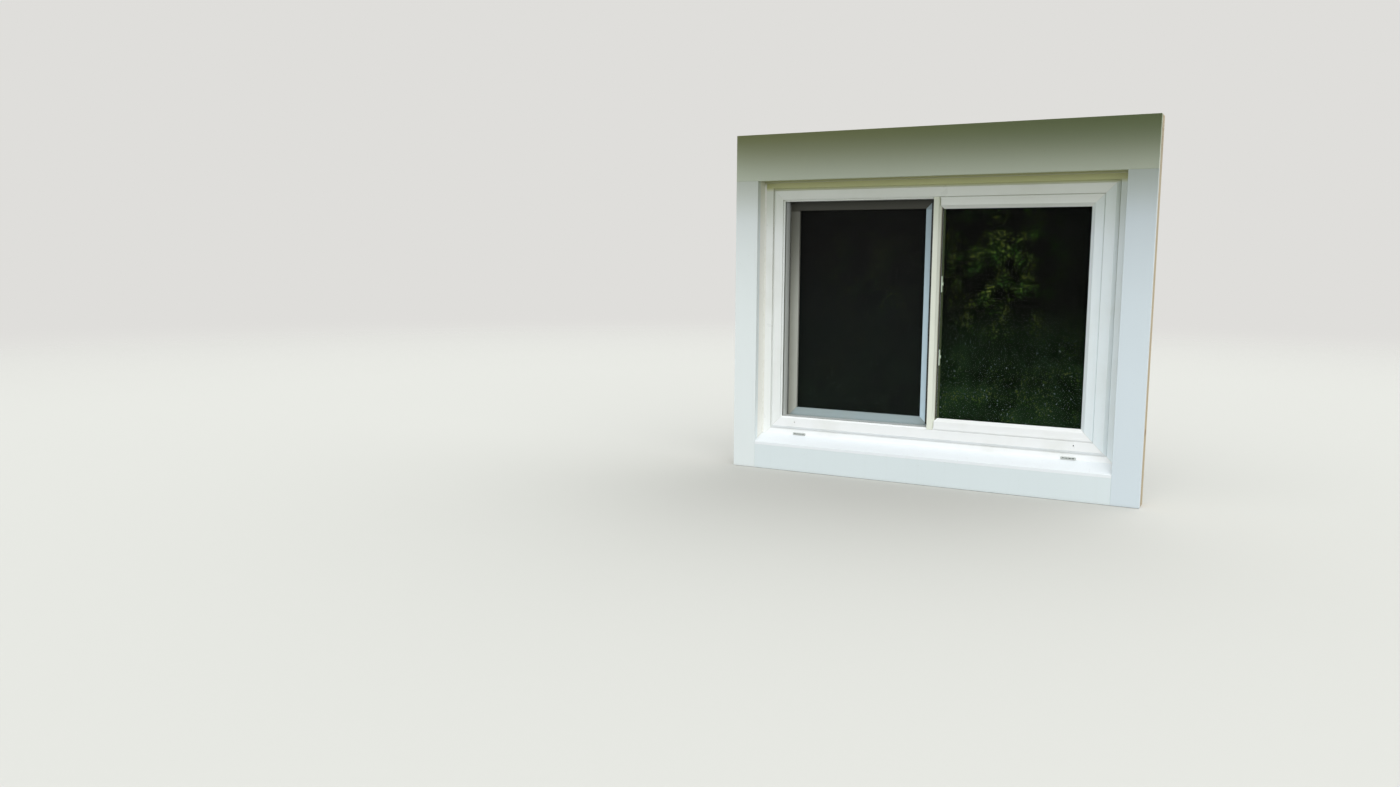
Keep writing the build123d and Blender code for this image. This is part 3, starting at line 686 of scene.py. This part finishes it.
def outer_glass_material():
    """Clear float glass: smooth, with a faint green body."""
    material, tree = new_material("clear_float_glass")
    place = add_node(tree, "ShaderNodeTexCoord").outputs["Object"]
    dust = add_node(
        tree, "ShaderNodeTexNoise", {"Vector": place, "Scale": scale_of(glass_dust_mm), "Detail": 6.0}
    ).outputs["Fac"]
    rough = add_node(
        tree,
        "ShaderNodeMapRange",
        {"Value": dust, "From Min": 0.4, "From Max": 0.7, "To Min": 0.02, "To Max": 0.07},
    )
    return close_material(
        material,
        {"Base Color": clear_glass_colour, "Roughness": rough.outputs[0], "IOR": 1.52, "Alpha": 0.03},
    )


def near_share(tree, place, middle):
    """1 near the clumps' middle and 0 beyond their reach."""
    away = add_node(tree, "ShaderNodeVectorMath", {0: place, 1: middle}, operation="SUBTRACT")
    in_radii = add_node(
        tree,
        "ShaderNodeVectorMath",
        {0: away.outputs[0], 1: (1 / clump_radii[0], 0.0, 1 / clump_radii[1])},
        operation="MULTIPLY",
    )
    far = add_node(tree, "ShaderNodeVectorMath", {0: in_radii.outputs[0]}, operation="LENGTH")
    return add_node(
        tree,
        "ShaderNodeMapRange",
        {"Value": far.outputs["Value"], "From Min": clump_reach[0], "From Max": clump_reach[1]},
        interpolation_type="SMOOTHSTEP",
    ).outputs[0]


def inner_glass_material(name, pane, full_share, middle, strip=None):
    """Glass painted dark as shade, with painted green reflections on its front round the middle, and clear
    in a strip if one is given.
    """
    material, tree = new_material(name)
    place = add_node(tree, "ShaderNodeTexCoord").outputs["Object"]
    front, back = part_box(pane)
    reflection_share = span_share(tree, place, "Y", ((front.y + back.y) / 2, front.y), full_share)
    low_part = where_all(tree, span_share(tree, place, "Z", wash_span, 1.0), reflection_share)
    near = where_all(tree, near_share(tree, place, middle), reflection_share)
    clumps = add_node(
        tree,
        "ShaderNodeTexNoise",
        {"Vector": place, "Scale": scale_of(clump_mm), "Detail": 6.0, "Roughness": 0.6},
    ).outputs["Fac"]
    clump_share = add_node(
        tree, "ShaderNodeMapRange", {"Value": clumps, "From Min": 0.44, "From Max": 0.64, "To Max": 0.3}
    ).outputs[0]
    in_clump = add_node(
        tree, "ShaderNodeMapRange", {"Value": clumps, "From Min": 0.45, "From Max": 0.6}
    ).outputs[0]
    fleck_reach = add_node(
        tree,
        "ShaderNodeMath",
        {0: near, 1: where_all(tree, low_part, low_fleck_share)},
        operation="ADD",
        use_clamp=True,
    ).outputs[0]
    mottle = {"roughness": mottle_roughness}
    wash = patches(tree, place, wash_mm, detail=6.0, levels=(0.28, 0.62), **mottle)
    flecks = patches(tree, place, fleck_mm, detail=2.0, levels=(0.55, 0.66), full=0.8, **mottle)
    tone = patches(tree, place, fleck_tone_mm, detail=3.0, levels=(0.42, 0.6), **mottle)
    spots = patches(tree, place, spot_mm, detail=2.0, levels=(0.652, 0.73), full=0.42, **mottle)
    fleck_colour = layered(tree, fleck_reflection_green, (tone, fleck_reflection_yellow))
    colour = layered(
        tree,
        room_shade_glass_colour,
        (where_all(tree, low_part, wash), wash_reflection_colour),
        (where_all(tree, clump_share, near), clump_reflection_colour),
        (where_all(tree, flecks, in_clump, fleck_reach), fleck_colour),
        (where_all(tree, low_part, spots), spot_reflection_colour),
    )
    sockets = {"Base Color": colour, "Roughness": 0.06, "IOR": 1.52, "Specular IOR Level": 0.01}
    if strip:
        start, end = strip
        before = span_share(tree, place, "X", (start + strip_start_step, start), cover_before_strip)
        beyond = span_share(tree, place, "X", (end - strip_end_step, end), 1.0)
        sockets["Alpha"] = add_node(
            tree, "ShaderNodeMath", {0: before, 1: beyond}, operation="ADD", use_clamp=True
        ).outputs[0]
    return close_material(material, sockets)


sight_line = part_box("fixed_meeting_stile")[1].x
dress(outer_glass_material(), "fixed_outer_glass", "sash_outer_glass")
dress(
    inner_glass_material(
        "shade_painted_glass_fixed",
        "fixed_inner_glass",
        full_share=1.0,
        middle=(0.18, 0.0, 0.55),
        strip=(sight_line, sight_line + clear_strip),
    ),
    "fixed_inner_glass",
)
dress(
    inner_glass_material("shade_painted_glass_sash", "sash_inner_glass", full_share=0.4, middle=(-0.2, 0.0, 0.52)),
    "sash_inner_glass",
)


# The spacers between the panes: roll-formed aluminium box, anodised light bronze, which gives it a
# fine grain and a soft metallic shine.
spacer_grain_mm = 1.67     # coarser than the real grain, so that it shows
spacer_grain_depth = 0.0001
bronze_colour = "96937a"


def bronze_aluminium_material():
    """Roll-formed aluminium, anodised light bronze."""
    material, tree = new_material("bronze_anodised_aluminium")
    place = add_node(tree, "ShaderNodeTexCoord").outputs["Object"]
    grain = add_node(
        tree, "ShaderNodeTexNoise", {"Vector": place, "Scale": scale_of(spacer_grain_mm), "Detail": 3.0}
    ).outputs["Fac"]
    rough = add_node(
        tree,
        "ShaderNodeMapRange",
        {"Value": grain, "From Min": 0.3, "From Max": 0.7, "To Min": 0.34, "To Max": 0.5},
    )
    bump = add_node(
        tree, "ShaderNodeBump", {"Height": grain, "Strength": 0.3, "Distance": spacer_grain_depth}
    )
    return close_material(
        material,
        {
            "Base Color": bronze_colour,
            "Metallic": 1.0,
            "Roughness": rough.outputs[0],
            "Normal": bump.outputs[0],
        },
    )


dress(bronze_aluminium_material(), "fixed_glass_spacer", "sash_glass_spacer")


# The rollers: moulded acetal wheels on their axles, in moulded nylon housings. Both are plain
# moulded plastics; the wheels are off-white and waxy, the housings grey.
rub_mm = 16.7
moulding_corner_reach = 0.006
moulding_grain_depth = 0.0001
moulding_corner_colour = "4d4a3f"


def moulded_material(name, colour, worn, roughness, grain_mm):
    """A moulded plastic or enamelled casting, rubbed a little, its corners darkened by dust and painted
    shade, its grain drawn coarse enough to show.
    """
    material, tree = new_material(name)
    place = add_node(tree, "ShaderNodeTexCoord").outputs["Object"]
    body = layered(
        tree,
        colour,
        (patches(tree, place, rub_mm, detail=5.0, levels=(0.52, 0.78), full=0.4), worn),
        (crevice_share(tree, moulding_corner_reach, full=0.5), moulding_corner_colour),
    )
    grain = add_node(
        tree, "ShaderNodeTexNoise", {"Vector": place, "Scale": scale_of(grain_mm), "Detail": 2.0}
    ).outputs["Fac"]
    bump = add_node(
        tree, "ShaderNodeBump", {"Height": grain, "Strength": 0.4, "Distance": moulding_grain_depth}
    )
    return close_material(
        material,
        {"Base Color": body, "Roughness": roughness, "IOR": 1.5, "Normal": bump.outputs[0]},
    )


dress(
    moulded_material("moulded_acetal", "e3e0d3", worn="c5bfa9", roughness=0.3, grain_mm=1.2),
    "sash_rollers",
)
dress(
    moulded_material("moulded_nylon", "8d8f8e", worn="77797a", roughness=0.5, grain_mm=0.9),
    "roller_housings",
)


# The weep slot covers: small plates of moulded vinyl, clipped into the sill, each with a row of
# slits that let the rain out. They are greyed by the dirt that runs out through the slits.
dress(
    moulded_material("moulded_vinyl_cover", "c6cbc8", worn="aeb0aa", roughness=0.4, grain_mm=2.0),
    "weep_covers",
)


# The cam locks on the sash and the keepers on the fixed stile: zinc castings in white enamel, a
# little rounded by the paint, screwed on from the room side.
dress(
    moulded_material("white_enamel_lock", "e2fbd8", worn="cfe6c4", roughness=0.28, grain_mm=1.6),
    "cam_locks",
    "lock_keepers",
)


# The insect screen's frame: roll-formed aluminium with a grey baked enamel, mitred over corner keys. The
# enamel is smooth and satin, a hairline shows at each mitre, and dust dulls it. Painted shade darkens its
# upper part, its top rail, its left stile and its corners, and the right stile is a lighter bluish grey as
# painted light.
enamel_dust_mm = 45.5
mitre_gap = 0.0004
enamel_corner_reach = 0.01
shade_from = 0.35        # the height above which the painted shade grows
top_rail_step = 0.004
top_rail_shade = 1.2        # how much more painted shade the top rail has than the stiles' upper ends
left_stile_shade = 0.45
mitre_gap_colour = "3c4143"
enamel_corner_colour = "4f4f45"
left_stile_shade_colour = "615f4e"
shelter_shade_colour = "403f34"
top_rail_shade_colour = "35342a"
screen_corners = (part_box("screen_left_stile")[0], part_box("screen_right_stile")[1])


def screen_enamel_material(name, colour, dull, corner_dust_and_shade, painted_shade):
    """Grey baked enamel on roll-formed aluminium, with painted shade under the head and on the left stile.
    """
    material, tree = new_material(name)
    place = add_node(tree, "ShaderNodeTexCoord").outputs["Object"]
    left_low, left_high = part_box("screen_left_stile")
    rail_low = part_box("screen_top_rail")[0].z
    rail_span = (rail_low - top_rail_step, rail_low)
    enamel = layered(
        tree,
        colour,
        (patches(tree, place, enamel_dust_mm, detail=6.0, levels=(0.48, 0.75), full=0.3), dull),
        (mitre_share(tree, place, *screen_corners, mitre_gap), mitre_gap_colour),
        (crevice_share(tree, enamel_corner_reach, corner_dust_and_shade), enamel_corner_colour),
        (span_share(tree, place, "X", (left_high.x, left_low.x), left_stile_shade), left_stile_shade_colour),
        (span_share(tree, place, "Z", (shade_from, rail_low), painted_shade), shelter_shade_colour),
        (span_share(tree, place, "Z", rail_span, top_rail_shade * painted_shade), top_rail_shade_colour),
    )
    return close_material(
        material, {"Base Color": enamel, "Roughness": 0.42, "IOR": 1.5, "Specular IOR Level": 0.3}
    )


dress(
    screen_enamel_material("grey_baked_enamel", "9baaae", dull="9fa39d", corner_dust_and_shade=0.6, painted_shade=0.75),
    "screen_top_rail",
    "screen_bottom_rail",
)
dress(
    screen_enamel_material("grey_baked_enamel_left_shaded", "b3b5ae", dull="aaa9a0", corner_dust_and_shade=0.6, painted_shade=0.75),
    "screen_left_stile",
)
dress(
    screen_enamel_material("grey_baked_enamel_right_lit", "cae0ee", dull="bdcedb", corner_dust_and_shade=0.25, painted_shade=0.3),
    "screen_right_stile",
)


# The insect screen's cloth: charcoal glass yarn, coated with vinyl and woven 18 by 18 to the
# inch, drawn over the frame and held by the spline. The yarns lie flat where they cross.
yarn_pitch = 0.0254 / 18
yarn_radius = 0.00016
yarn_flatness = 0.75
yarn_dust_mm = 83.3
paler_low_span = (0.62, 0.35)    # the heights between which the yarns grow paler, downwards
charcoal_colour = "070808"
paler_low_charcoal_colour = "101917"
yarn_dust_colour = "161713"
cloth_low, cloth_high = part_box("screen_mesh")


def yarns(name, up, depth):
    """All the yarns of the cloth that run up or across, as one mesh of an arrayed yarn."""
    width, height = cloth_high.x - cloth_low.x, cloth_high.z - cloth_low.z
    length, span = (height, width) if up else (width, height)
    count = int(span / yarn_pitch)
    margin = (span - (count - 1) * yarn_pitch) / 2
    bpy.ops.object.select_all(action="DESELECT")
    bpy.ops.mesh.primitive_cylinder_add(vertices=6, radius=yarn_radius, depth=length)
    yarn = bpy.context.object
    yarn.name = name
    yarn.scale = (1, yarn_flatness, 1)
    settle(yarn)
    if up:
        yarn.location = (cloth_low.x + margin, depth, (cloth_low.z + cloth_high.z) / 2)
    else:
        yarn.rotation_euler = (0, math.radians(90), 0)
        yarn.location = ((cloth_low.x + cloth_high.x) / 2, depth, cloth_low.z + margin)
    settle(yarn)
    repeat = yarn.modifiers.new("repeat", "ARRAY")
    repeat.use_relative_offset = False
    repeat.use_constant_offset = True
    repeat.constant_offset_displace = (yarn_pitch, 0, 0) if up else (0, 0, yarn_pitch)
    repeat.count = count
    bpy.ops.object.modifier_apply(modifier="repeat")
    return yarn


def yarn_material():
    """Charcoal vinyl-coated glass yarn, matt, with dust."""
    material, tree = new_material("charcoal_glass_yarn")
    place = add_node(tree, "ShaderNodeTexCoord").outputs["Object"]
    dust = patches(tree, place, yarn_dust_mm, detail=6.0, levels=(0.4, 0.75), full=0.5)
    colour = layered(
        tree,
        charcoal_colour,
        (span_share(tree, place, "Z", paler_low_span, 1.0), paler_low_charcoal_colour),
        (dust, yarn_dust_colour),
    )
    return close_material(
        material, {"Base Color": colour, "Roughness": 0.6, "IOR": 1.5, "Specular IOR Level": 0.25}
    )


cloth_middle = (cloth_low.y + cloth_high.y) / 2
yarn_depth = yarn_radius * yarn_flatness
upright_yarns = yarns("screen_yarns_upright", up=True, depth=cloth_middle - yarn_depth)
level_yarns = yarns("screen_yarns_level", up=False, depth=cloth_middle + yarn_depth)
charcoal = yarn_material()
for yarn in (upright_yarns, level_yarns):
    yarn.data.materials.append(charcoal)
    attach(yarn, "root")
    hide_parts("screen_mesh")


# The soft strips: a round vinyl spline pressed into the screen frame's groove, a black rubber strip
# that the screen closes on, and grey pile weatherstrips beside the sash.
strip_dust_mm = 22.2
strip_grain_mm = 1.11      # coarser than the real grain and pile, so that it shows
strip_grain_depth = 0.0003


def soft_strip_material(name, colour, dust, roughness):
    """Rubber, soft vinyl or pile: dark, matt, dusty."""
    material, tree = new_material(name)
    place = add_node(tree, "ShaderNodeTexCoord").outputs["Object"]
    dusty = patches(tree, place, strip_dust_mm, detail=6.0, levels=(0.45, 0.75), full=0.6)
    body = layered(tree, colour, (dusty, dust))
    grain = add_node(
        tree, "ShaderNodeTexNoise", {"Vector": place, "Scale": scale_of(strip_grain_mm), "Detail": 2.0}
    ).outputs["Fac"]
    bump = add_node(
        tree, "ShaderNodeBump", {"Height": grain, "Strength": 0.7, "Distance": strip_grain_depth}
    )
    return close_material(
        material, {"Base Color": body, "Roughness": roughness, "Normal": bump.outputs[0]}
    )


dress(soft_strip_material("black_vinyl_spline", "232423", dust="3b3b35", roughness=0.55), "screen_spline")
dress(soft_strip_material("black_rubber_strip", "1d1e1d", dust="3a3931", roughness=0.6), "screen_seal")
dress(soft_strip_material("grey_pile", "6c6e6d", dust="8b8b84", roughness=0.95), "sash_weatherstrips")


# The sealant: a bead of white silicone gunned into the corner between the frame's flange and the
# boards round it, and tooled hollow with a wet finger. It is smooth and slightly glossy.
bead_leg = 0.004
bead_hollow = 0.22         # the bevel's profile: under 0.5 it is hollow
bead_bevel = 0.98          # of the leg, so that a thin edge is left
bead_near = 0.1            # of the leg, within which an edge's ends count as on the outer corner
tool_mark_mm = 14.3
tool_mark_depth = 0.0008
bead_shade_span = (0.76, 0.775)
silicone_colour = "efefea"
silicone_dust_colour = "d3d0c3"
silicone_shade_colour = "b2b385"


def sealant_bead(name, corner, end, inward):
    """A hollow fillet bead from corner to end, with its hollow face turned inward and outward."""
    start, stop = Vector(corner), Vector(end)
    run = stop - start
    bpy.ops.object.select_all(action="DESELECT")
    bpy.ops.mesh.primitive_cube_add(size=1)
    bead = bpy.context.object
    bead.name = name
    outer = start + Vector(inward) * bead_leg + Vector((0, -bead_leg, 0))
    bead.location = (start + stop) / 2 + (outer - start) / 2
    bead.scale = [abs(run[i]) + abs((outer - start)[i]) for i in range(3)]
    settle(bead)
    bpy.ops.object.mode_set(mode="EDIT")
    bpy.ops.mesh.select_mode(type="EDGE")
    bpy.ops.mesh.select_all(action="DESELECT")
    bpy.ops.object.mode_set(mode="OBJECT")
    along = run.normalized()
    for edge in bead.data.edges:
        ends = [bead.data.vertices[i].co for i in edge.vertices]
        edge.select = all((point - outer).cross(along).length < bead_leg * bead_near for point in ends)
    bpy.ops.object.mode_set(mode="EDIT")
    bpy.ops.mesh.bevel(offset=bead_leg * bead_bevel, segments=5, profile=bead_hollow)
    bpy.ops.mesh.select_all(action="SELECT")
    bpy.ops.mesh.normals_make_consistent(inside=False)
    bpy.ops.object.mode_set(mode="OBJECT")
    return bead


def silicone_material():
    """White silicone, tooled smooth, with dust stuck to it and a painted olive shade under the head."""
    material, tree = new_material("white_silicone")
    place = add_node(tree, "ShaderNodeTexCoord").outputs["Object"]
    marks = add_node(
        tree, "ShaderNodeTexNoise", {"Vector": place, "Scale": scale_of(tool_mark_mm), "Detail": 4.0}
    ).outputs["Fac"]
    dust = add_node(
        tree, "ShaderNodeMapRange", {"Value": marks, "From Min": 0.45, "From Max": 0.75, "To Max": 0.3}
    ).outputs[0]
    body = layered(
        tree,
        silicone_colour,
        (dust, silicone_dust_colour),
        (span_share(tree, place, "Z", bead_shade_span, 1.0), silicone_shade_colour),
    )
    bump = add_node(
        tree, "ShaderNodeBump", {"Height": marks, "Strength": 0.5, "Distance": tool_mark_depth}
    )
    return close_material(
        material, {"Base Color": body, "Roughness": 0.32, "IOR": 1.42, "Normal": bump.outputs[0]}
    )


flange_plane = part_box("left_return")[1].y
left_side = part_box("left_return")[1].x
right_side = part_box("right_return")[0].x
top_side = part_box("head_return")[0].z
ledge_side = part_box("sill_ledge")[1].z
silicone = silicone_material()
bead_runs = {
    "left": ((left_side, ledge_side), (left_side, top_side), (1, 0, 0)),
    "right": ((right_side, ledge_side), (right_side, top_side), (-1, 0, 0)),
    "head": ((left_side + bead_leg, top_side), (right_side - bead_leg, top_side), (0, 0, -1)),
}
for side, (first, last, inward) in bead_runs.items():
    bead = sealant_bead(
        f"sealant_bead_{side}",
        (first[0], flange_plane, first[1]),
        (last[0], flange_plane, last[1]),
        inward,
    )
    bead.data.materials.append(silicone)
    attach(bead, "root")
